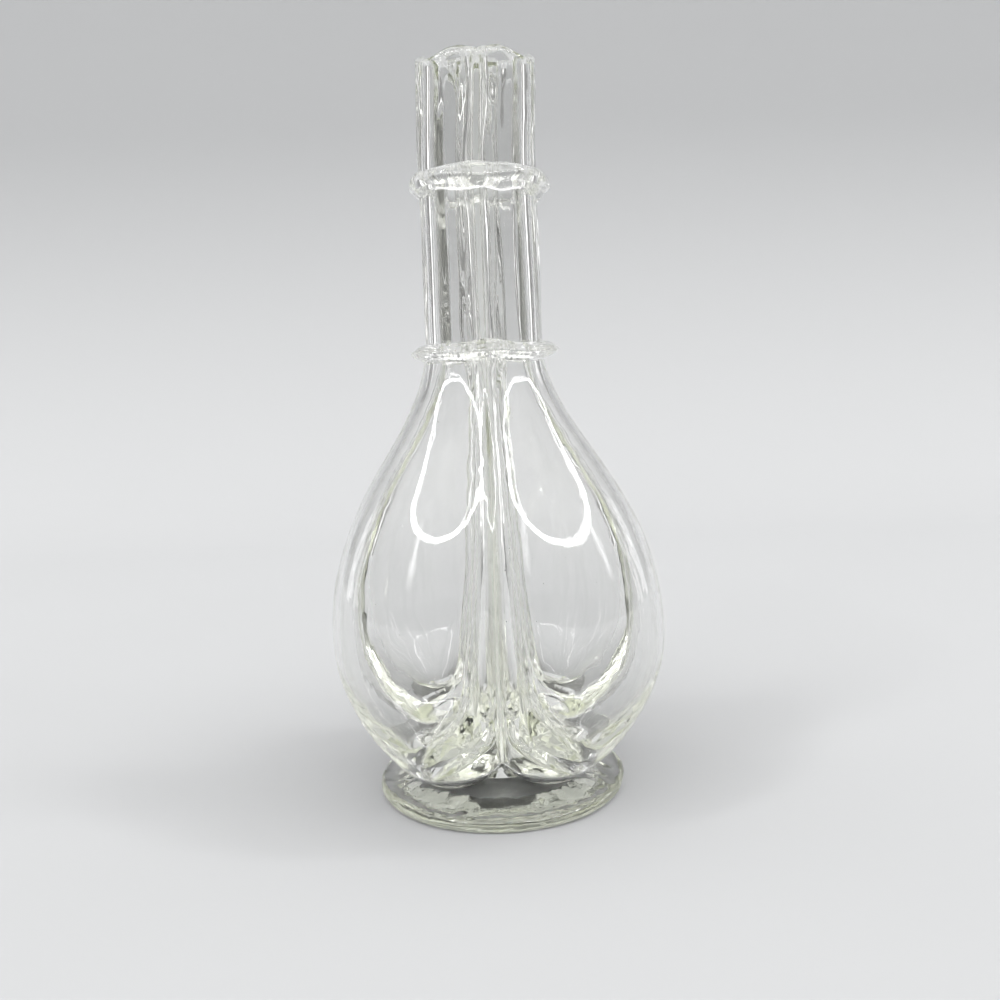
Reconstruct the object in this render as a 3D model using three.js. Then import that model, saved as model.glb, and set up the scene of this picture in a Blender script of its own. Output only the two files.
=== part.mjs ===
import * as THREE from 'three';

// A blown-glass decanter with four separate chambers: four slim bottles fused side by side,
// two glass rings laid round their joined necks, and a round foot that carries them.
// Millimetres, +Z up, origin at the middle of the foot's underside, -Y is the front.
// Each chamber fills one quarter between the XZ and YZ planes, and its own axis runs
// through that quarter's diagonal.

// Whole object
const totalHeight = 272.5;
const fuseGap = 0.3;

// Foot
const footRadius = 48;
const footEdgeThickness = 5.4;
const footCrownHeight = 8;
const footCrownRadius = 34;
const pontilRadius = 12;
const pontilDepth = 0.8;
const pontilSlope = 3;

// Chamber: the distance of its axis from each web plane, the radius of its wall, and the height
const seatOffset = 17;
const seatRadius = 6.5;
const bellyOffset = 23;
const bellyHeight = 67;
const bellyRadius = 38;
const smallBellyRadius = 36.2;
const neckOffset = 9.6;
const neckRadius = 11.3;
const neckStart = 174;

// Chamber: how far its curves run straight out of each end before they turn
const seatSweep = 9;
const bowlSweep = 30;
const shoulderSweep = 53;
const neckSweep = 36;

// Chamber: glass thickness
const bellyWall = 2.4;
const neckWall = 3.3;
const mouthWall = 4.4;
const webWall = 1.5;
const floorThickness = 9.2;
const rimRounding = 1.3;

// The hollow's narrow bottom, which lies further from the web planes than the seat, and how
// far its curves run straight before they turn: out and up from the bottom, and below the belly
const floorOffset = 26;
const floorRadius = 2.5;
const floorSweepOut = 13;
const floorSweepUp = 12;
const hollowSweep = 26;

// Pouring lip, pinched out of each mouth's outer corner
const lipLength = 14;
const lipReach = 0.6;
const lipDrop = 3.8;
const lipNarrowness = 8;

// Upper ring, a rounded band. Its reach is counted from the necks' outermost corners, and
// from the bottom of the grooves between them.
const upperRingHeight = 228.2;
const upperRingReach = 2.8;
const upperRingGrooveReach = 9.9;
const upperRingTip = 4.6;
const upperRingSlope = 0.7;
const upperRingSkirt = 2.7;

// Lower ring, a thin flange pressed flat
const lowerRingHeight = 168;
const lowerRingReach = 4.2;
const lowerRingGrooveReach = 10.8;
const lowerRingTip = 2.4;
const lowerRingSlope = 0.47;
const lowerRingSkirt = 2.3;

// Mesh density
const wallSegments = 24;
const bowlSteps = 8;
const shoulderSteps = 10;
const neckSteps = 2;
const lipSteps = 4;
const ringSegments = 64;
const footSegments = 64;

// How tightly a chamber's corners turn, outside and in its hollow
const cornerSharpness = 10;
const hollowSharpness = 5;

// The chamber's outline, from its seat through its belly and neck to its mouth. Each point
// holds the axis's distance from the web planes, the wall's radius, and the height.
function chamberOutline({ seat, sweepOut, sweepUp, sweepBelowBelly, belly, neck, mouth }) {
  const outline = new THREE.CurvePath();
  const leaveSeat = new THREE.Vector3(seat.x, seat.y + sweepOut, seat.z + sweepUp);
  const reachBelly = new THREE.Vector3(belly.x, belly.y, belly.z - sweepBelowBelly);
  const leaveBelly = new THREE.Vector3(belly.x, belly.y, belly.z + shoulderSweep);
  const reachNeck = new THREE.Vector3(neck.x, neck.y, neck.z - neckSweep);
  outline.add(new THREE.CubicBezierCurve3(seat, leaveSeat, reachBelly, belly));
  outline.add(new THREE.CubicBezierCurve3(belly, leaveBelly, reachNeck, neck));
  outline.add(new THREE.LineCurve3(neck, mouth));
  return outline.curves;
}

// Points along the outline, with closer ones in the length of the pouring lip
function outlineStations(curves) {
  const [bowl, shoulder, neck] = curves;
  const lipStart = 1 - lipLength / neck.getLength();
  const stations = bowl.getPoints(bowlSteps);
  stations.push(...shoulder.getPoints(shoulderSteps).slice(1));
  for (let step = 1; step <= neckSteps; step += 1) {
    stations.push(neck.getPoint(lipStart * step / neckSteps));
  }
  for (let step = 1; step <= lipSteps; step += 1) {
    stations.push(neck.getPoint(lipStart + (1 - lipStart) * step / lipSteps));
  }
  return stations;
}

// Distance from a chamber's axis to its wall: round, and flat where it faces a neighbour,
// 1 / r^n = 1 / radius^n + (share toward each web / flat)^n, where n is the sharpness.
function wallDistance(radius, flat, angle, sharpness) {
  const towardSide = Math.max(0, -Math.cos(angle)) / flat;
  const towardBack = Math.max(0, -Math.sin(angle)) / flat;
  const sum = radius ** -sharpness + towardSide ** sharpness + towardBack ** sharpness;
  return sum ** (-1 / sharpness);
}

// One level loop of a chamber's wall. Near the mouth its outer corner is drawn out and down.
function wallLoop(station, flatInset, sharpness) {
  const loop = [];
  const intoLip = THREE.MathUtils.smoothstep(station.z, totalHeight - lipLength, totalHeight);
  for (let i = 0; i < wallSegments; i += 1) {
    const angle = 2 * Math.PI * i / wallSegments;
    const facingCorner = (1 + Math.cos(angle - Math.PI / 4)) / 2;
    const pinch = intoLip * facingCorner ** lipNarrowness;
    const distance = wallDistance(station.y, station.x - flatInset, angle, sharpness) + lipReach * pinch;
    const x = station.x + distance * Math.cos(angle);
    const y = station.x + distance * Math.sin(angle);
    loop.push(new THREE.Vector3(x, y, station.z - lipDrop * pinch));
  }
  return loop;
}

// A closed skin over a stack of loops, each end drawn to one point in its middle
function skinOverLoops(loops) {
  const positions = [];
  const index = [];
  const count = loops[0].length;
  const endPoint = (loop) => {
    const middle = new THREE.Vector3();
    loop.forEach((point) => middle.addScaledVector(point, 1 / count));
    return middle;
  };
  loops.flat().forEach((point) => positions.push(point.x, point.y, point.z));
  [loops[0], loops[loops.length - 1]].forEach((loop) => positions.push(...endPoint(loop).toArray()));
  const firstEnd = loops.length * count;
  const lastEnd = firstEnd + 1;
  const lastLoop = (loops.length - 1) * count;
  for (let i = 0; i < count; i += 1) {
    const next = (i + 1) % count;
    index.push(firstEnd, next, i);
    index.push(lastEnd, lastLoop + i, lastLoop + next);
    for (let k = 0; k < loops.length - 1; k += 1) {
      const low = k * count;
      const high = low + count;
      index.push(low + i, low + next, high + next);
      index.push(low + i, high + next, high + i);
    }
  }
  const geometry = new THREE.BufferGeometry();
  geometry.setAttribute('position', new THREE.Float32BufferAttribute(positions, 3));
  geometry.setIndex(index);
  geometry.computeVertexNormals();
  return geometry;
}

// A chamber's outer skin, standing on the foot's crown
function outerOutline(radiusAtBelly) {
  return chamberOutline({
    seat: new THREE.Vector3(seatOffset, seatRadius, footCrownHeight + fuseGap),
    sweepOut: seatSweep,
    sweepUp: 0,
    sweepBelowBelly: bowlSweep,
    belly: new THREE.Vector3(bellyOffset, radiusAtBelly, bellyHeight),
    neck: new THREE.Vector3(neckOffset, neckRadius, neckStart),
    mouth: new THREE.Vector3(neckOffset, neckRadius, totalHeight - rimRounding),
  });
}

// The hollow in a chamber, above its thick floor
function hollowOutline(radiusAtBelly) {
  return chamberOutline({
    seat: new THREE.Vector3(floorOffset, floorRadius, footCrownHeight + fuseGap + floorThickness),
    sweepOut: floorSweepOut,
    sweepUp: floorSweepUp,
    sweepBelowBelly: hollowSweep,
    belly: new THREE.Vector3(bellyOffset, radiusAtBelly - bellyWall, bellyHeight),
    neck: new THREE.Vector3(neckOffset, neckRadius - neckWall, neckStart),
    mouth: new THREE.Vector3(neckOffset, neckRadius - mouthWall, totalHeight - rimRounding),
  });
}

// One blown chamber with its neck: an outer skin, a fire-rounded rim and the hollow inside
function chamberGeometry(radiusAtBelly) {
  const outside = outlineStations(outerOutline(radiusAtBelly));
  const inside = outlineStations(hollowOutline(radiusAtBelly));
  const crest = new THREE.Vector3(neckOffset, neckRadius - mouthWall / 2, totalHeight);
  const outerInset = fuseGap / 2;
  const innerInset = outerInset + webWall;
  const loops = outside.map((station) => wallLoop(station, outerInset, cornerSharpness));
  loops.push(wallLoop(crest, (outerInset + innerInset) / 2, cornerSharpness));
  inside.reverse().forEach((station) => loops.push(wallLoop(station, innerInset, hollowSharpness)));
  return skinOverLoops(loops);
}

// The station of the chambers' shoulder at a height, or of their neck above it
function shoulderStation(height) {
  const [, shoulder] = outerOutline(bellyRadius);
  const stations = shoulder.getPoints(shoulderSteps ** 2);
  return stations.find((station) => station.z >= height) ?? stations.at(-1);
}

// Distance from the decanter's axis to the outside of the four joined chambers at a station:
// along a lobe it is the far side of a circle whose middle lies on the quarter's diagonal.
function bundleRadius(station, angle) {
  const fromDiagonal = (angle % (Math.PI / 2)) - Math.PI / 4;
  const axisDistance = station.x * Math.SQRT2;
  const across = axisDistance * Math.sin(fromDiagonal);
  return axisDistance * Math.cos(fromDiagonal) + Math.sqrt(station.y ** 2 - across ** 2);
}

// A glass ring round the joined necks, with a rounded edge. Its bore follows them, its edge
// swells a little over each, and its top slopes up from the edge to the bore. The bore clears
// them by twice fuseGap, because it is measured from the axis and meets them at a slant.
function neckRingGeometry({ height, reach, grooveReach, tip, slope, skirt }) {
  const station = shoulderStation(Math.min(height - skirt, neckStart));
  const cornerEdge = bundleRadius(station, Math.PI / 4) + reach;
  const grooveEdge = bundleRadius(station, 0) + grooveReach;
  const halfTip = tip / 2;
  const diagonal = halfTip * Math.SQRT1_2;
  const positions = [];
  const index = [];
  for (let j = 0; j < ringSegments; j += 1) {
    const angle = 2 * Math.PI * j / ringSegments;
    const bore = bundleRadius(station, angle) + 2 * fuseGap;
    const edge = (cornerEdge + grooveEdge) / 2 - (cornerEdge - grooveEdge) / 2 * Math.cos(4 * angle);
    const shoulder = Math.max(edge - halfTip, bore + fuseGap);
    const section = [
      [bore, height - skirt],
      [shoulder, height - halfTip],
      [shoulder + diagonal, height - diagonal],
      [shoulder + halfTip, height],
      [shoulder + diagonal, height + diagonal],
      [shoulder, height + halfTip],
      [bore, height + halfTip + slope * (shoulder - bore)],
    ];
    section.forEach(([r, z]) => positions.push(r * Math.cos(angle), r * Math.sin(angle), z));
    section.forEach((_, k) => {
      const nextK = (k + 1) % section.length;
      const here = j * section.length;
      const there = ((j + 1) % ringSegments) * section.length;
      index.push(here + k, there + k, there + nextK);
      index.push(here + k, there + nextK, here + nextK);
    });
  }
  const geometry = new THREE.BufferGeometry();
  geometry.setAttribute('position', new THREE.Float32BufferAttribute(positions, 3));
  geometry.setIndex(index);
  geometry.computeVertexNormals();
  return geometry;
}

// The foot: a thick disc, flat below but for the shallow mark where the iron was broken off,
// with a rounded edge and a low crown that the chambers sit on
function footGeometry() {
  const edgeRadius = footEdgeThickness / 2;
  const outline = new THREE.Path();
  outline.moveTo(0, pontilDepth);
  outline.lineTo(pontilRadius, pontilDepth);
  outline.lineTo(pontilRadius + pontilSlope, 0);
  outline.lineTo(footRadius - edgeRadius, 0);
  outline.absarc(footRadius - edgeRadius, edgeRadius, edgeRadius, -Math.PI / 2, Math.PI / 2, false);
  outline.lineTo(footCrownRadius, footCrownHeight);
  outline.lineTo(0, footCrownHeight);
  const geometry = new THREE.LatheGeometry(outline.getPoints(5), footSegments);
  geometry.rotateX(Math.PI / 2);
  return geometry;
}

const clearGlass = { color: 0xdfe5dd, roughness: 0.03, metalness: 0, transparent: true, opacity: 0.35 };

function addPiece(group, name, geometry) {
  const mesh = new THREE.Mesh(geometry, new THREE.MeshStandardMaterial(clearGlass));
  mesh.name = name;
  group.add(mesh);
  return mesh;
}

// The quarter turns about the decanter's axis that bring each chamber from the back right to
// its place, and the size of its belly
const chambers = {
  back_right: { turns: 0, belly: bellyRadius },
  back_left: { turns: 1, belly: bellyRadius },
  front_left: { turns: 2, belly: smallBellyRadius },
  front_right: { turns: 3, belly: bellyRadius },
};

const decanter = new THREE.Group();

addPiece(decanter, 'foot', footGeometry());

Object.entries(chambers).forEach(([place, { turns, belly }]) => {
  const chamber = addPiece(decanter, `${place}_chamber`, chamberGeometry(belly));
  chamber.rotation.z = turns * Math.PI / 2;
});

addPiece(decanter, 'lower_neck_ring', neckRingGeometry({
  height: lowerRingHeight,
  reach: lowerRingReach,
  grooveReach: lowerRingGrooveReach,
  tip: lowerRingTip,
  slope: lowerRingSlope,
  skirt: lowerRingSkirt,
}));

addPiece(decanter, 'upper_neck_ring', neckRingGeometry({
  height: upperRingHeight,
  reach: upperRingReach,
  grooveReach: upperRingGrooveReach,
  tip: upperRingTip,
  slope: upperRingSlope,
  skirt: upperRingSkirt,
}));

export default decanter;
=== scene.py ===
import math

import bmesh
import bpy
import numpy as np
from mathutils import Matrix


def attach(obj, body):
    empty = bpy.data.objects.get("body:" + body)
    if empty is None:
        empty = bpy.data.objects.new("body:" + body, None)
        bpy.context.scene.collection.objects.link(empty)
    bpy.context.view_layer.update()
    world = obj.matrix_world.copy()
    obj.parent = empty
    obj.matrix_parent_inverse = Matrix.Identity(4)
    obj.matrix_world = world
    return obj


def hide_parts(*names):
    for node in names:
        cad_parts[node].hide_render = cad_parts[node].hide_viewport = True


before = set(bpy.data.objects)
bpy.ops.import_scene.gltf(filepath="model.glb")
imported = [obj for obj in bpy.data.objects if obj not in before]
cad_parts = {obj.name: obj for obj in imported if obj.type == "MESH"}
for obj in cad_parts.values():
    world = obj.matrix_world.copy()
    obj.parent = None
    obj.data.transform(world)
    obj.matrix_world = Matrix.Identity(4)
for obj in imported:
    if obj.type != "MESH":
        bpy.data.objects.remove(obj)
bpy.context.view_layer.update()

# The camera stands straight in front of the groove between the two front bubbles, above the
# middle, looks slightly down, and is tilted a little about its own line of sight.
camera_place = (0.0, -0.374, 0.163)
camera_turn, camera_pitch, camera_roll = -0.5, 82.25, -2.2
camera_lens, camera_sensor, camera_nearest = 35.46, 36.0, 0.01
camera_data = bpy.data.cameras.new("camera")
camera_data.sensor_width = camera_sensor
camera_data.lens = camera_lens
camera_data.clip_start = camera_nearest
camera = bpy.data.objects.new("camera", camera_data)
bpy.context.scene.collection.objects.link(camera)
camera.matrix_world = (
    Matrix.Translation(camera_place)
    @ Matrix.Rotation(math.radians(camera_turn), 4, "Z")
    @ Matrix.Rotation(math.radians(camera_pitch), 4, "X")
    @ Matrix.Rotation(math.radians(camera_roll), 4, "Z")
)
bpy.context.scene.camera = camera


# The body: four blown bubbles of clear soda glass, pressed together hot so that they fuse
# into one onion with four hollows. Their four necks run up side by side, and each mouth has
# its outer corner pinched into a lip. Lengths are millimetres until a mesh is made, and an
# offset is how far a bubble's own axis lies from the decanter's, along X and along Y alike.
total_height = 272.5
seat_offset, seat_radius, seat_height = 17.0, 7.5, 8.15
belly_offset, belly_radius, belly_height = 23.0, 38.0, 67.0
neck_offset, neck_radius, neck_start = 9.6, 11.3, 174.0
leave_seat, reach_belly = (1.0, 8.0, 0.0), (0.0, 0.0, -30.0)
shoulder_sweep, neck_sweep = 53.0, 36.0
belly_wall, neck_wall, mouth_wall, web_wall = 2.4, 3.3, 4.4, 1.7
floor_offset, floor_radius, floor_height = 26.0, 2.2, 17.0
floor_rise, hollow_rise = (-1.0, 13.0, 12.0), (0.0, 0.0, -26.0)
rim_rounding, web_fade = 1.3, 0.5
lip_length, lip_reach, lip_drop, lip_narrowness = 14.0, 0.6, 3.8, 8
body_blend, neck_blend, blend_zone = 1.3, 2.8, (150.0, 185.0)
core_thin, core_wide, core_zone = 5.0, 18.0, (11.0, 38.0)
floor_sharpness, shoulder_sharpness, sharp_zone = 2.6, 9.0, (22.0, 110.0)
arc_points, arc_crowding, web_points, rim_points = 49, 1.6, 9, 8
skin_rows, hollow_rows, seat_rings, floor_rings = (60, 80, 66), (40, 56, 44), 7, 5
tiny = 1e-9


def bezier(p0, p1, p2, p3, count):
    """Cubic curve B(t) = (1-t)^3 p0 + 3(1-t)^2 t p1 + 3(1-t) t^2 p2 + t^3 p3, t even in 0..1."""
    t = np.linspace(0.0, 1.0, count)[:, None]
    p0, p1, p2, p3 = map(np.asarray, (p0, p1, p2, p3))
    return (1 - t) ** 3 * p0 + 3 * (1 - t) ** 2 * t * p1 + 3 * (1 - t) * t**2 * p2 + t**3 * p3


def chamber_outline(seat, leave, reach, walls, counts):
    """Rows of (offset of the chamber's axis, wall radius, height) from the seat to the mouth:
    one Bezier arc round the bowl, one over the shoulder, and a straight neck. The bowl's inner
    control points lie at seat + leave and belly + reach. The walls are the thicknesses to stay
    inside by, at the belly, at the neck and at the mouth."""
    seat = np.array(seat)
    wall_at_belly, wall_at_neck, wall_at_mouth = walls
    belly = np.array([belly_offset, belly_radius - wall_at_belly, belly_height])
    neck = np.array([neck_offset, neck_radius - wall_at_neck, neck_start])
    mouth = np.array([neck_offset, neck_radius - wall_at_mouth, total_height - rim_rounding])
    bowl = bezier(seat, seat + leave, belly + reach, belly, counts[0])
    shoulder = bezier(
        belly, belly + (0, 0, shoulder_sweep), neck - (0, 0, neck_sweep), neck, counts[1]
    )
    straight = neck + np.linspace(0.0, 1.0, counts[2])[:, None] * (mouth - neck)
    return np.concatenate([bowl, shoulder[1:], straight[1:]])


def fused_field(x, y, offset, radius, z):
    """Soft union of four circles at (+-offset, +-offset) and one round the axis: minus k times
    the log of the sum of exp(-distance / k). It is negative inside the glass, and k grows from
    body_blend to neck_blend where the necks begin."""
    blend = body_blend + (neck_blend - body_blend) * smooth(z, *blend_zone)
    total = -(np.hypot(x, y) - core_radius(z)) / blend
    for side in (-1, 1):
        for front in (-1, 1):
            away = np.hypot(x - side * offset, y - front * offset) - radius
            total = np.logaddexp(total, -away / blend)
    return -blend * total


def way_out(field, reach, first=False, samples=160, halvings=26):
    """Last s in 0..reach, or the first, where field(s) turns from inside to outside: a scan of
    even steps finds the step before it, then halving closes in. Where it never turns, s is
    reach."""
    steps = np.linspace(0.0, 1.0, samples)
    inside = field(reach[..., None] * steps) < 0
    if first:
        before = np.where(inside.all(axis=-1), samples - 1, np.argmin(inside, axis=-1) - 1)
    else:
        before = samples - 1 - np.argmax(inside[..., ::-1], axis=-1)
    low = steps[before]
    high = steps[np.minimum(before + 1, samples - 1)]
    for _ in range(halvings):
        middle = (low + high) / 2
        within = field((reach * middle)[..., None])[..., 0] < 0
        low, high = np.where(within, middle, low), np.where(within, high, middle)
    return reach * (low + high) / 2


def smooth(x, start, end):
    """Smooth step from 0 at start to 1 at end, 3 s^2 - 2 s^3."""
    s = np.clip((x - start) / (end - start), 0.0, 1.0)
    return s * s * (3 - 2 * s)


def core_radius(z):
    """Radius of the glass column round the axis, wide just above the foot where the bubbles'
    bottoms run together, and thin inside the body."""
    return core_thin + (core_wide - core_thin) * (1 - smooth(z, *core_zone))


def crowded_arc():
    """Even steps u in -1..1 moved towards both ends: sign(u) (1 - (1 - |u|)^crowding)."""
    even = np.linspace(-1.0, 1.0, arc_points)
    return np.sign(even) * (1 - (1 - np.abs(even)) ** arc_crowding)


def skin_loops(stations, groove_margin=6.0, skin_margin=9.0, groove_samples=600):
    """For each station the points of one quarter's outer skin, from the groove on the XZ plane
    to the groove on the YZ plane: on each ray from the chamber's axis, the first point where
    the field turns to outside, or else where the ray meets the next bubble. Angles are measured
    from the diagonal and crowd towards the grooves. Returns x, y and the groove's angle."""
    offset, radius, z = stations.T
    column = lambda a: a[:, None]
    groove = way_out(
        lambda s: fused_field(0.0, s, column(offset), column(radius), column(z)),
        offset + radius + groove_margin,
        samples=groove_samples,
    )
    corner = np.arctan2(groove - offset, -offset) - math.pi / 4
    theta = math.pi / 4 + corner[:, None] * crowded_arc()
    cos, sin = np.cos(theta), np.sin(theta)
    web = np.minimum(
        offset[:, None] / np.maximum(tiny, -cos), offset[:, None] / np.maximum(tiny, -sin)
    )
    reach = np.minimum(web, (radius + skin_margin)[:, None])
    deep = lambda a: a[:, None, None]
    distance = way_out(
        lambda s: fused_field(
            deep(offset) + s * cos[..., None], deep(offset) + s * sin[..., None],
            deep(offset), deep(radius), deep(z),
        ),
        reach,
        first=True,
    )
    x = offset[:, None] + distance * cos
    y = offset[:, None] + distance * sin
    x[:, -1], y[:, -1] = 0.0, groove
    x[:, 0], y[:, 0] = groove, 0.0
    return x, y, corner


def lip(psi, z):
    """How far a point takes part in the pouring lip, 0..1: a smooth step over the last
    lip_length of the height times a power of (1 + cos psi) / 2, psi being its angle from the
    corner."""
    facing = (1 + np.cos(psi)) / 2
    return smooth(z, total_height - lip_length, total_height) * facing**lip_narrowness


def hollow_loops(stations, psi):
    """Loops of a chamber's hollow: distance d(psi) from its axis with
    1 / d^n = 1 / radius^n + (share towards each web / flat)^n."""
    offset, radius, z = (column[:, None] for column in stations.T)
    theta = math.pi / 4 + psi[None, :]
    flat = offset - web_wall
    side = np.maximum(0.0, -np.cos(theta)) / flat
    back = np.maximum(0.0, -np.sin(theta)) / flat
    n = floor_sharpness + (shoulder_sharpness - floor_sharpness) * smooth(z, *sharp_zone)
    distance = (radius**-n + side**n + back**n) ** (-1 / n)
    pinch = lip(psi[None, :], z)
    distance = distance + lip_reach * pinch
    x = offset + distance * np.cos(theta)
    y = offset + distance * np.sin(theta)
    return np.stack([x, y, z - lip_drop * pinch + 0 * x], axis=-1)


def grid_faces(rows, columns, closed=False):
    """Four-cornered faces between the rows of a grid whose points are numbered row by row, and
    where the grid is closed, also between its last column and its first."""
    index = np.arange(rows * columns).reshape(rows, columns)
    if closed:
        index = np.concatenate([index, index[:, :1]], axis=1)
    a, b, c, d = index[:-1, :-1], index[:-1, 1:], index[1:, 1:], index[1:, :-1]
    return np.stack([a, b, c, d], axis=-1).reshape(-1, 4)


def weld(parts, steps_per_mm=1e4):
    """Joins grids of (points, faces), with points that round to the same step made one. Two
    faces that lie on each other, inside the glass where two bubbles meet, are both dropped."""
    points, faces, count = [], [], 0
    for part_points, part_faces in parts:
        points.append(part_points.reshape(-1, 3))
        faces.append(part_faces + count)
        count += len(points[-1])
    points, faces = np.concatenate(points), np.concatenate(faces)
    _, first, same = np.unique(
        np.round(points * steps_per_mm).astype(np.int64),
        axis=0, return_index=True, return_inverse=True,
    )
    faces = same.reshape(-1)[faces]
    _, kind, times = np.unique(
        np.sort(faces, axis=1), axis=0, return_inverse=True, return_counts=True
    )
    return points[first], faces[times[kind.reshape(-1)] == 1]


def glass_mesh(name, points, faces, mm_per_metre=1000.0):
    """A smooth-shaded mesh in metres from millimetre points, its faces turned outwards."""
    mesh = bpy.data.meshes.new(name)
    polygons = [list(dict.fromkeys(face)) for face in faces.tolist()]
    mesh.from_pydata((points / mm_per_metre).tolist(), [], [p for p in polygons if len(p) > 2])
    work = bmesh.new()
    work.from_mesh(mesh)
    bmesh.ops.recalc_face_normals(work, faces=work.faces)
    work.to_mesh(mesh)
    work.free()
    mesh.polygons.foreach_set("use_smooth", np.ones(len(mesh.polygons), bool))
    mesh.update()
    piece = bpy.data.objects.new(name, mesh)
    bpy.context.scene.collection.objects.link(piece)
    return piece


def ripple(points, seed, wave, stretch=1.0, waves=9, spread=(0.7, 1.5), size=0.9):
    """Smooth random field in about -1..1: a sum of sines of the position in random directions,
    with wavelengths near wave, and stretch times longer along Z, divided by the root of their
    number."""
    rng = np.random.default_rng(seed)
    total = np.zeros(points.shape[:-1])
    for _ in range(waves):
        direction = rng.normal(size=3)
        direction /= np.linalg.norm(direction)
        direction[2] /= stretch
        turn = 2 * math.pi / (wave * rng.uniform(*spread))
        total += np.sin(points @ direction * turn + rng.uniform(0, 2 * math.pi))
    return total / math.sqrt(waves) * size


# Each wave in the glass: its size on the body, what the neck and the rim add, its wavelength
# and how much longer it is along Z. Fans spread from the foot over the lowest part alone.
broad_wave = (0.22, -0.10, 0.06, 32.0, 1.6)
streak_wave = (0.035, 0.105, 0.03, 3.2, 14.0)
fold_wave = (0.0, 0.0, 0.16, 8.0, 1.8)
fan_size, fan_wavelength, fan_stretch, fan_radius = 0.32, 6.0, 5.0, 30.0
waver_zone, fan_zone = (9.0, 16.0), (14.0, 34.0)
straight_zone, rim_zone = (150.0, 180.0), (230.0, 250.0)
slim_share, slim_power, slim_rise, slim_fall = 0.03, 1.5, (10.0, 45.0), (90.0, 150.0)
clear_corner, clear_groove, clear_middle = (0.15, 0.6), (0.86, 0.97), (9.0, 14.0)
groove_calm, middle_calm = 0.85, 0.8
axis_seeds = ((0, 11), (1, 14))


def hand_made(points):
    """The small unevenness of work at the furnace. The front left bubble is slimmer, by a share
    that fades to nothing at the webs. The broad waves, streaks, folds and fans shift each point
    along X and Y. In the necks the streaks fade towards the corners, grooves and middle."""
    x, y, z = points[..., 0], points[..., 1], points[..., 2]
    away = np.arctan2(y, x) + 3 * math.pi / 4
    slim = np.maximum(0.0, np.cos(2 * away)) ** slim_power * (np.cos(away) > 0)
    slim = slim * smooth(z, *slim_rise) * (1 - smooth(z, *slim_fall))
    scale = 1 - slim_share * slim
    moved = points.copy()
    moved[..., 0] *= scale
    moved[..., 1] *= scale
    neck, rim = smooth(z, *straight_zone), smooth(z, *rim_zone)
    lowest = 1 - smooth(z, *fan_zone)
    fanned = points / np.maximum(1.0, np.hypot(x, y))[..., None] * fan_radius
    fanned[..., 2] = z
    toward_groove = np.abs(np.sin(2 * away))
    clarity = 1 - neck * (1 - smooth(toward_groove, *clear_corner))
    clarity = clarity * (1 - groove_calm * neck * smooth(toward_groove, *clear_groove))
    clarity = clarity * (1 - middle_calm * neck * (1 - smooth(np.hypot(x, y), *clear_middle)))
    for axis, seed in axis_seeds:
        broad, streaks, folds = (
            (on_body + in_neck * neck + at_rim * rim) * ripple(points, seed + k, wave, stretch)
            for k, (on_body, in_neck, at_rim, wave, stretch) in enumerate(
                (broad_wave, streak_wave, fold_wave)
            )
        )
        fans = fan_size * lowest * ripple(fanned, seed + 3, fan_wavelength, fan_stretch)
        streaks, folds = streaks * clarity, folds * clarity + fans
        moved[..., axis] += smooth(z, *waver_zone) * (broad + streaks + folds)
    return moved


neck_turn, neck_turn_zone = -4.5, (130.0, 185.0)
mouth_turn, mouth_turn_zone = 6.5, (232.0, 268.0)


def twisted(points):
    """Points turned about the Z axis by an angle that follows their height: the joined necks
    stand a little clockwise of the body, and their mouths a little the other way."""
    z = points[..., 2]
    angle = np.radians(
        neck_turn * smooth(z, *neck_turn_zone) + mouth_turn * smooth(z, *mouth_turn_zone)
    )
    cos, sin = np.cos(angle), np.sin(angle)
    x, y = points[..., 0], points[..., 1]
    return np.stack([x * cos - y * sin, x * sin + y * cos, z], axis=-1)


def quarter_turn(points, turns):
    """Points turned about the Z axis by that many right angles."""
    turned = points.copy()
    for _ in range(turns):
        turned = np.stack([-turned[..., 1], turned[..., 0], turned[..., 2]], axis=-1)
    return turned


# The outer skin: one quarter, turned three times, and closed below by a flat seat under each
# bubble. The two ends of a quarter lie exactly on the planes where it meets its neighbours.
outer_stations = chamber_outline(
    (seat_offset, seat_radius, seat_height), leave_seat, reach_belly, (0.0, 0.0, 0.0), skin_rows
)
skin_x, skin_y, groove_angle = skin_loops(outer_stations)
skin_psi = groove_angle[:, None] * crowded_arc()
skin_z = np.repeat(outer_stations[:, 2:3], arc_points, axis=1)
skin_pinch = lip(skin_psi, skin_z)
skin_theta = math.pi / 4 + skin_psi
quarter_skin = np.stack(
    [
        skin_x + lip_reach * skin_pinch * np.cos(skin_theta),
        skin_y + lip_reach * skin_pinch * np.sin(skin_theta),
        skin_z - lip_drop * skin_pinch,
    ],
    axis=-1,
)
quarter_skin[:, 0, 1] = quarter_skin[:, -1, 0] = 0.0
skin = np.concatenate([quarter_turn(quarter_skin[:, :-1], k) for k in range(4)], axis=1)
parts = [(skin, grid_faces(*skin.shape[:2], closed=True))]
seat_middle = np.array([seat_offset, seat_offset, seat_height])
seat_edge = np.append(quarter_skin[0], [[0.0, 0.0, seat_height]], axis=0)
seat_shares = np.linspace(1.0, 0.0, seat_rings)[:, None, None]
quarter_seat = seat_middle + seat_shares * (seat_edge - seat_middle)

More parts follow.
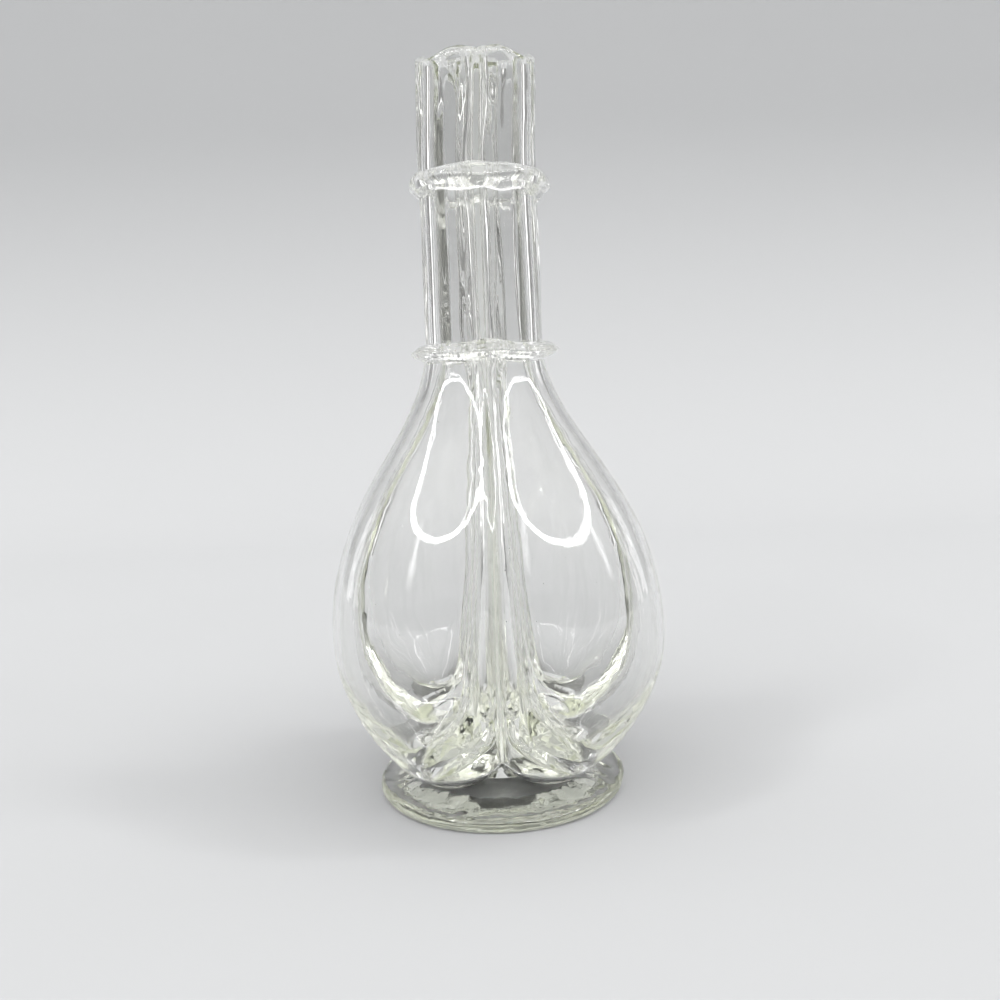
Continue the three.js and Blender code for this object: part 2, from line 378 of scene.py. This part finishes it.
# The inside, in each quarter: the hollow, its floor, and the rounded rim from the skin, and
# from the webs between the mouths, to the hollow's edge.
web_share = np.linspace(0.0, 1.0, web_points)[1:]
corner_psi = groove_angle[-1]
web_psi = corner_psi + (math.pi - corner_psi) * web_share
mouth_psi = np.concatenate([-web_psi[::-1], skin_psi[-1], web_psi])
web_theta = math.pi / 4 + web_psi
web_reach = neck_offset / np.maximum(tiny, -np.cos(web_theta))
web_line = np.stack(
    [0 * web_reach, neck_offset + web_reach * np.sin(web_theta), 0 * web_reach], axis=-1
)
web_line[-1] = 0.0
web_line[:, 2] = skin_z[-1, 0] - lip_drop * lip(web_psi, skin_z[-1, 0])
rim_edge = np.concatenate([web_line[::-1][:, [1, 0, 2]], quarter_skin[-1], web_line])
hollow_stations = chamber_outline(
    (floor_offset, floor_radius, floor_height), floor_rise, hollow_rise,
    (belly_wall, neck_wall, mouth_wall), hollow_rows,
)
hollow = hollow_loops(hollow_stations, mouth_psi)
across = np.linspace(0.0, 1.0, rim_points)[:, None]
into_web = smooth(np.abs(mouth_psi), corner_psi, corner_psi + web_fade)[None, :]
crest = (1 - into_web) * np.sin(math.pi * across) + into_web * np.cos(math.pi / 2 * across)
rim = (1 - across[..., None]) * rim_edge + across[..., None] * hollow[-1]
rim[..., 2] += rim_rounding * crest
floor_middle = hollow[0].mean(axis=0)
floor_shares = np.linspace(0.0, 1.0, floor_rings)[:, None, None]
floor = floor_middle + floor_shares * (hollow[0] - floor_middle)
for turns in range(4):
    for patch in (rim, hollow, floor):
        turned = quarter_turn(patch, turns)
        parts.append((turned, grid_faces(*turned.shape[:2])))
    turned = quarter_turn(quarter_seat, turns)
    parts.append((turned, grid_faces(*turned.shape[:2], closed=True)))
body_points, body_faces = weld(parts)
glass_body = glass_mesh("glass_body", twisted(hand_made(body_points)), body_faces)


# The finish of the glass. Lengths here are metres, and a noise's scale is in cells per metre.
glass_green = (0.83, 0.85, 0.73)
tint_density, glass_bending = 8.0, 1.5
wave_scale, wave_stretch, wave_detail, wave_strength = 160.0, 0.22, 2.0, 0.5
wipe_scale, wipe_detail, wipe_start, wipe_end, wipe_roughness = 55.0, 6.0, 0.45, 0.8, 0.05
streak_dimness, seed_scale, seed_heart, seed_clearness = 0.94, 95.0, 0.6, 0.3


def clear_glass(name, tint, wave_height, seed_size):
    """Clear glass: full transmission, with fine ripples, faint wipe marks in the roughness, a
    few white seeds, and a tint that deepens with the thickness of glass passed through."""
    material = bpy.data.materials.new(name)
    material.use_nodes = True
    nodes, links = material.node_tree.nodes, material.node_tree.links
    shader = nodes["Principled BSDF"]

    def added(kind, **values):
        """A new node of that kind with the named inputs set; an underscore is a space."""
        node = nodes.new("ShaderNode" + kind)
        for socket, value in values.items():
            node.inputs[socket.replace("_", " ")].default_value = value
        return node

    shader.inputs["Transmission Weight"].default_value = 1.0
    shader.inputs["IOR"].default_value = glass_bending
    coordinates = added("TexCoord")
    stretch = added("Mapping", Scale=(1.0, 1.0, wave_stretch))
    waves = added("TexNoise", Scale=wave_scale, Detail=wave_detail)
    bump = added("Bump", Strength=wave_strength, Distance=wave_height)
    wipes = added("TexNoise", Scale=wipe_scale, Detail=wipe_detail)
    haze = added("MapRange", From_Min=wipe_start, From_Max=wipe_end, To_Max=wipe_roughness)
    streaks = added("MapRange", To_Min=streak_dimness)
    colour = added("CombineColor")
    seeds = added("TexVoronoi", Scale=seed_scale)
    clear = added(
        "MapRange", From_Min=seed_size * seed_heart, From_Max=seed_size, To_Min=seed_clearness
    )
    inside = added("VolumeAbsorption", Color=(*tint, 1.0), Density=tint_density)
    for source, target in (
        (coordinates.outputs["Object"], stretch.inputs["Vector"]),
        (stretch.outputs["Vector"], waves.inputs["Vector"]),
        (waves.outputs["Fac"], bump.inputs["Height"]),
        (bump.outputs["Normal"], shader.inputs["Normal"]),
        (coordinates.outputs["Object"], wipes.inputs["Vector"]),
        (wipes.outputs["Fac"], haze.inputs["Value"]),
        (haze.outputs["Result"], shader.inputs["Roughness"]),
        (waves.outputs["Fac"], streaks.inputs["Value"]),
        (streaks.outputs["Result"], colour.inputs["Red"]),
        (streaks.outputs["Result"], colour.inputs["Green"]),
        (streaks.outputs["Result"], colour.inputs["Blue"]),
        (colour.outputs["Color"], shader.inputs["Base Color"]),
        (coordinates.outputs["Object"], seeds.inputs["Vector"]),
        (seeds.outputs["Distance"], clear.inputs["Value"]),
        (clear.outputs["Result"], shader.inputs["Transmission Weight"]),
        (inside.outputs["Volume"], nodes["Material Output"].inputs["Volume"]),
    ):
        links.new(source, target)
    return material


body_waves, body_seeds = 0.00012, 0.035
glass_body.data.materials.append(
    clear_glass("chamber_glass", glass_green, body_waves, body_seeds)
)
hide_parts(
    "back_right_chamber", "back_left_chamber", "front_left_chamber",
    "front_right_chamber",
)
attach(glass_body, "root")


# The two rings: gathers of the same glass, laid round the joined necks hot. The lower one is
# wide and flat, like a lens in section, and pinched all round. The upper one is a round band
# that has run down the necks here and there.
ring_points, section_points, bore_rows, bore_gap = 320, 49, 7, 0.25
search_share = 1.6
# Waver of the rings, each a size and a wavelength along a circle of waver_radius, and how far
# the pinches push the edge outwards and downwards, as shares of their depth.
waver_radius = 25.0
crimp_waver, edge_waver, lift_waver = (1.6, 22.0), (0.35, 14.0), (0.35, 18.0)
thread_waver, drip_waver = (1.3, 30.0), (0.6, 13.0)
drip_middle, drip_most, drip_start = 0.55, 1.2, 0.9
crimp_out, crimp_down = 0.4, 2.0


def bundle_radius(angle, station):
    """Distance from the axis to the outside of the joined chambers, where the fused field of
    that station turns from inside to outside along the ray at angle."""
    offset, radius, z = station
    return way_out(
        lambda s: fused_field(
            s * np.cos(angle)[:, None], s * np.sin(angle)[:, None], offset, radius, z
        ),
        np.full(len(angle), search_share * (offset + radius)),
    )


def neck_ring(
    name, height, corner_reach, groove_reach, below, above, slope, tip, drip, crimps, depth,
    threads, thread_depth, seed,
):
    """A ring with the section of an egg or a lens: radius bore + reach cos(b)^tip, height +
    above or below times sin(b), b from -90 to 90 degrees, closed along the bore. The reach
    swells towards the corners, and a crimp wave of the given count and depth runs round the
    edge. Waves along the section stand for the threads of glass it was wound from, and below
    it runs down the necks in drips."""
    angle = np.linspace(0.0, 2 * math.pi, ring_points, endpoint=False)
    heights = outer_stations[:, 2]
    station_at = lambda z: np.array(
        [np.interp(z, heights, outer_stations[:, k]) for k in range(3)]
    )
    middle = bundle_radius(angle, station_at(height))
    corner = (1 - np.cos(4 * angle)) / 2
    edge = (
        (bundle_radius(np.array([math.pi / 4]), station_at(height))[0] + corner_reach) * corner
        + (bundle_radius(np.array([0.0]), station_at(height))[0] + groove_reach) * (1 - corner)
    )
    circle = np.stack(
        [np.cos(angle) * waver_radius, np.sin(angle) * waver_radius, 0 * angle + seed], axis=-1
    )
    phase = crimps * angle + crimp_waver[0] * ripple(circle, seed, crimp_waver[1])
    edge = edge + crimp_out * depth * np.cos(phase)
    edge = edge + edge_waver[0] * ripple(circle, seed + 1, edge_waver[1])
    lift = lift_waver[0] * ripple(circle, seed + 2, lift_waver[1])
    reach = edge - middle
    top = above + slope * reach
    b = np.linspace(-math.pi / 2, math.pi / 2, section_points)
    radius = middle[:, None] + reach[:, None] * np.cos(b) ** tip
    z = height + lift[:, None] + np.where(b < 0, below, top[:, None]) * np.sin(b)
    crimp = crimp_down * depth * np.sin(phase)[:, None] * np.cos(b) * np.sin(b) ** 2
    z = z + crimp * (b < 0)
    wander = thread_waver[0] * ripple(circle, seed + 3, thread_waver[1])[:, None]
    thread = thread_depth * np.cos(2 * threads * b + wander) * np.sqrt(np.cos(b))
    radius = radius + thread * np.cos(b)
    z = z + thread * np.sin(b)
    runs = drip_middle + drip_waver[0] * ripple(circle, seed + 4, drip_waver[1])
    hang = drip * np.clip(runs, 0.0, drip_most)[:, None]
    z = z - hang * smooth(-b, drip_start, math.pi / 2)
    bore_z = z[:, -1:] + (z[:, :1] - z[:, -1:]) * np.linspace(0.0, 1.0, bore_rows)
    bore = np.stack(
        [bundle_radius(angle, station_at(level)) for level in bore_z.mean(axis=0)], axis=1
    ) + bore_gap
    radius = np.concatenate([radius[:, 1:-1], bore], axis=1)
    z = np.concatenate([z[:, 1:-1], bore_z], axis=1)
    points = np.stack(
        [radius * np.cos(angle)[:, None], radius * np.sin(angle)[:, None], z], axis=-1
    )
    points = np.concatenate([points, points[:1]], axis=0)
    points, faces = weld([(points, grid_faces(*points.shape[:2], closed=True))])
    return glass_mesh(name, twisted(points), faces)


lower_ring = neck_ring(
    "lower_ring", height=168.4, corner_reach=4.8, groove_reach=9.0, below=2.7, above=1.8,
    slope=0.30, tip=1.8, drip=0.9, crimps=60, depth=0.22, threads=5, thread_depth=0.2, seed=21,
)
upper_ring = neck_ring(
    "upper_ring", height=228.2, corner_reach=2.8, groove_reach=6.6, below=2.7, above=2.1,
    slope=0.55, tip=0.8, drip=2.6, crimps=17, depth=0.12, threads=2, thread_depth=0.16, seed=31,
)
ring_waves, ring_seeds = 0.00022, 0.03
ring_glass = clear_glass("ring_glass", glass_green, ring_waves, ring_seeds)
for ring, node in ((lower_ring, "lower_neck_ring"), (upper_ring, "upper_neck_ring")):
    ring.data.materials.append(ring_glass)
    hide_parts(node)
    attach(ring, "root")


# The foot: a thick gather of glass pressed into a disc under the body, flat below but for the
# shallow mark where the iron was broken off, with a fire-rounded edge and a low crown.
foot_radius, foot_edge, foot_crown, foot_crown_radius = 48.0, 2.7, 8.0, 34.0
pontil_radius, pontil_depth, pontil_slope = 12.0, 0.8, 3.0
under_rings, edge_rings, crown_rings, foot_turns = 30, 14, 34, 193
under_gap, crown_gap = 0.5, 0.8
# The rim wavers outwards, where a point is both off the floor and near the edge, and the crown
# sinks in shallow swirls round the body.
off_floor, near_edge, wavers = (0.3, 2.0), (33.0, 46.0), ((0.35, 41, 40.0), (0.12, 42, 9.0))
above_edge, off_body, crown_sink, swirl_depth = (4.5, 5.4), (30.0, 38.0), 0.22, 0.13
swirl_count, swirl_share, swirl_waver, swirl_lumps = 34, 0.6, (3, 43, 14.0), (44, 7.0)
foot_green, foot_waves, foot_seeds = (0.78, 0.81, 0.62), 0.0002, 0.03


def disc_profile():
    """(radius, height) of half the foot's section, from the middle of the underside, round the
    edge as an arc of radius foot_edge, and over the crown back to the axis."""
    arc_middle = foot_radius - foot_edge
    r = np.linspace(0.0, arc_middle - under_gap, under_rings)
    hollowed = pontil_depth * (1 - smooth(r, pontil_radius, pontil_radius + pontil_slope))
    below = np.stack([r, hollowed], axis=-1)
    arc = np.linspace(-math.pi / 2, math.pi / 2, edge_rings)
    edge = np.stack(
        [arc_middle + foot_edge * np.cos(arc), foot_edge + foot_edge * np.sin(arc)], axis=-1
    )
    r = np.linspace(arc_middle - crown_gap, 0.0, crown_rings)
    rise = smooth(-r, -arc_middle, -foot_crown_radius)
    above = np.stack([r, 2 * foot_edge + (foot_crown - 2 * foot_edge) * rise], axis=-1)
    return np.concatenate([below, edge, above])


foot_profile = disc_profile()
foot_angle = np.linspace(0.0, 2 * math.pi, foot_turns)
foot_r, foot_z = foot_profile[:, 0][:, None], foot_profile[:, 1][:, None]
foot_points = np.stack(
    [foot_r * np.cos(foot_angle), foot_r * np.sin(foot_angle), foot_z + 0 * foot_angle], axis=-1
)
on_edge = smooth(foot_points[..., 2], *off_floor) * smooth(foot_r, *near_edge)
wobble = on_edge * sum(size * ripple(foot_points, seed, wave) for size, seed, wave in wavers)
foot_points[..., 0] += wobble * np.cos(foot_angle)
foot_points[..., 1] += wobble * np.sin(foot_angle)
on_top = smooth(foot_points[..., 2], *above_edge) * smooth(foot_r, *off_body)
swirl_phase = swirl_count * foot_angle + swirl_waver[0] * ripple(foot_points, *swirl_waver[1:])
swirl = swirl_share * np.sin(swirl_phase) + ripple(foot_points, *swirl_lumps)
foot_points[..., 2] -= on_top * (crown_sink + swirl_depth * swirl)
foot_points[:, -1] = foot_points[:, 0]
glass_foot = glass_mesh(
    "glass_foot", *weld([(foot_points, grid_faces(*foot_points.shape[:2]))])
)
glass_foot.data.materials.append(clear_glass("foot_glass", foot_green, foot_waves, foot_seeds))
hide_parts("foot")
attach(glass_foot, "root")


# The studio: a wide pale floor, a pale sheet that bends up behind the decanter, and an even
# room. In the room a bright rounded frame, high up and seen over the camera, is what the
# shoulders mirror as loops, and soft panels stand at the sides.
paper_grey, paper_roughness = (0.52, 0.525, 0.53), 0.9
floor_level, floor_half = -0.0001, 3.0
sheet_half, bend_start, bend_radius, bend_steps, sheet_top = 1.05, 0.55, 0.5, 24, 2.2


def sheet_of(name, half_width, y, z, colour):
    """A sheet along X whose section is the line through the given y and z values."""
    x = np.array([-half_width, half_width])
    points = np.stack(np.broadcast_arrays(x[None, :], y[:, None], z[:, None]), axis=-1)
    mesh = bpy.data.meshes.new(name)
    mesh.from_pydata(points.reshape(-1, 3).tolist(), [], grid_faces(len(y), 2).tolist())
    mesh.polygons.foreach_set("use_smooth", np.ones(len(mesh.polygons), bool))
    sheet = bpy.data.objects.new(name, mesh)
    bpy.context.scene.collection.objects.link(sheet)
    paper = bpy.data.materials.new(name)
    paper.use_nodes = True
    shader = paper.node_tree.nodes["Principled BSDF"]
    shader.inputs["Base Color"].default_value = (*colour, 1.0)
    shader.inputs["Roughness"].default_value = paper_roughness
    mesh.materials.append(paper)


bend = np.linspace(0.0, math.pi / 2, bend_steps)
sheet_of(
    "floor", floor_half, np.array([-floor_half, floor_half]),
    np.array([floor_level, floor_level]), paper_grey,
)
sheet_of(
    "backdrop", sheet_half,
    np.append(bend_start + bend_radius * np.sin(bend), bend_start + bend_radius),
    np.append(bend_radius * (1 - np.cos(bend)), sheet_top) + floor_level,
    paper_grey,
)

world = bpy.data.worlds.new("room")
bpy.context.scene.world = world
world.use_nodes = True
room, room_links = world.node_tree.nodes, world.node_tree.links
direction = room.new("ShaderNodeTexCoord")
parts_of = room.new("ShaderNodeSeparateXYZ")
room_links.new(direction.outputs["Generated"], parts_of.inputs["Vector"])


def window(socket, low, high, soft):
    """1 where the value lies between low and high, fading over soft outside them."""
    rise = room.new("ShaderNodeMapRange")
    rise.inputs["From Min"].default_value = low - soft
    rise.inputs["From Max"].default_value = low
    fall = room.new("ShaderNodeMapRange")
    fall.inputs["From Min"].default_value = high + soft
    fall.inputs["From Max"].default_value = high
    both = room.new("ShaderNodeMath")
    both.operation = "MULTIPLY"
    for ramp, slot_number in ((rise, 0), (fall, 1)):
        room_links.new(socket, ramp.inputs["Value"])
        room_links.new(ramp.outputs["Result"], both.inputs[slot_number])
    return both.outputs["Value"]


def joined(operation, first, second):
    """Two values joined by the named Math operation."""
    node = room.new("ShaderNodeMath")
    node.operation = operation
    for value, slot_number in ((first, 0), (second, 1)):
        if isinstance(value, float):
            node.inputs[slot_number].default_value = value
        else:
            room_links.new(value, node.inputs[slot_number])
    return node.outputs["Value"]


def power_of_size(value, middle, half_size, power):
    """|(value - middle) / half_size| raised to the power."""
    share = joined("MULTIPLY", joined("SUBTRACT", value, middle), 1.0 / half_size)
    return joined("POWER", joined("ABSOLUTE", share, 0.0), power)


# A direction is given by its height, the sine of its angle above the floor, and by its turn
# away from the front, in radians. A range is lowest, highest and softness. A straight look
# into the room finds a plain wall of seen_light, which lights nothing.
frame_power, frame_turn, frame_height = 3.0, (0.22, 1.36), (0.965, 0.385)
frame_line, frame_reach, frame_light = (0.965, 1.035, 0.015), (0.3, 0.90, 0.02), 16.0
even_light, overhead, overhead_light = 0.32, (0.72, 2.0, 0.35), 0.95
shade_height, shade_turn, shade = (-1.0, 0.25, 0.15), (-1.0, 1.0, 0.4), 0.14
side_height, side_turns, side_light = (
    (0.0, 0.40, 0.08), ((1.72, 1.76, 0.03), (1.95, 2.02, 0.03)), 2.6
)
leg_height, leg_turns, leg_light = (
    (0.40, 0.56, 0.14), ((-0.66, -0.60, 0.03), (1.10, 1.16, 0.03)), 4.0
)
seen_light = 0.42

height = parts_of.outputs["Z"]
turn = joined("ARCTAN2", parts_of.outputs["X"], joined("MULTIPLY", parts_of.outputs["Y"], -1.0))
aside = joined("ABSOLUTE", turn, 0.0)
frame_rim = joined(
    "POWER",
    joined(
        "ADD", power_of_size(turn, *frame_turn, frame_power),
        power_of_size(height, *frame_height, frame_power),
    ),
    1.0 / frame_power,
)
strip = joined("MULTIPLY", window(frame_rim, *frame_line), window(height, *frame_reach))
ceiling = joined("MULTIPLY", window(height, *overhead), overhead_light)
front = joined("MULTIPLY", window(height, *shade_height), window(turn, *shade_turn))
sides = joined(
    "MULTIPLY", window(height, *side_height),
    joined("ADD", window(aside, *side_turns[0]), window(aside, *side_turns[1])),
)
legs = joined(
    "MULTIPLY", window(height, *leg_height),
    joined("ADD", window(turn, *leg_turns[0]), window(turn, *leg_turns[1])),
)
glow = joined("SUBTRACT", joined("ADD", even_light, ceiling), joined("MULTIPLY", front, shade))
glow = joined("ADD", glow, joined("MULTIPLY", strip, frame_light))
glow = joined("ADD", glow, joined("MULTIPLY", sides, side_light))
glow = joined("ADD", glow, joined("MULTIPLY", legs, leg_light))
seen = room.new("ShaderNodeLightPath").outputs["Is Camera Ray"]
glow = joined(
    "ADD", joined("MULTIPLY", glow, joined("SUBTRACT", 1.0, seen)),
    joined("MULTIPLY", seen, seen_light),
)
room_links.new(glow, room["Background"].inputs["Strength"])
room["Background"].inputs["Color"].default_value = (1.0, 1.0, 1.0, 1.0)

bpy.context.scene.view_settings.view_transform = "Standard"
bpy.context.scene.cycles.max_bounces = 40
bpy.context.scene.cycles.glossy_bounces = 32
bpy.context.scene.cycles.transmission_bounces = 32
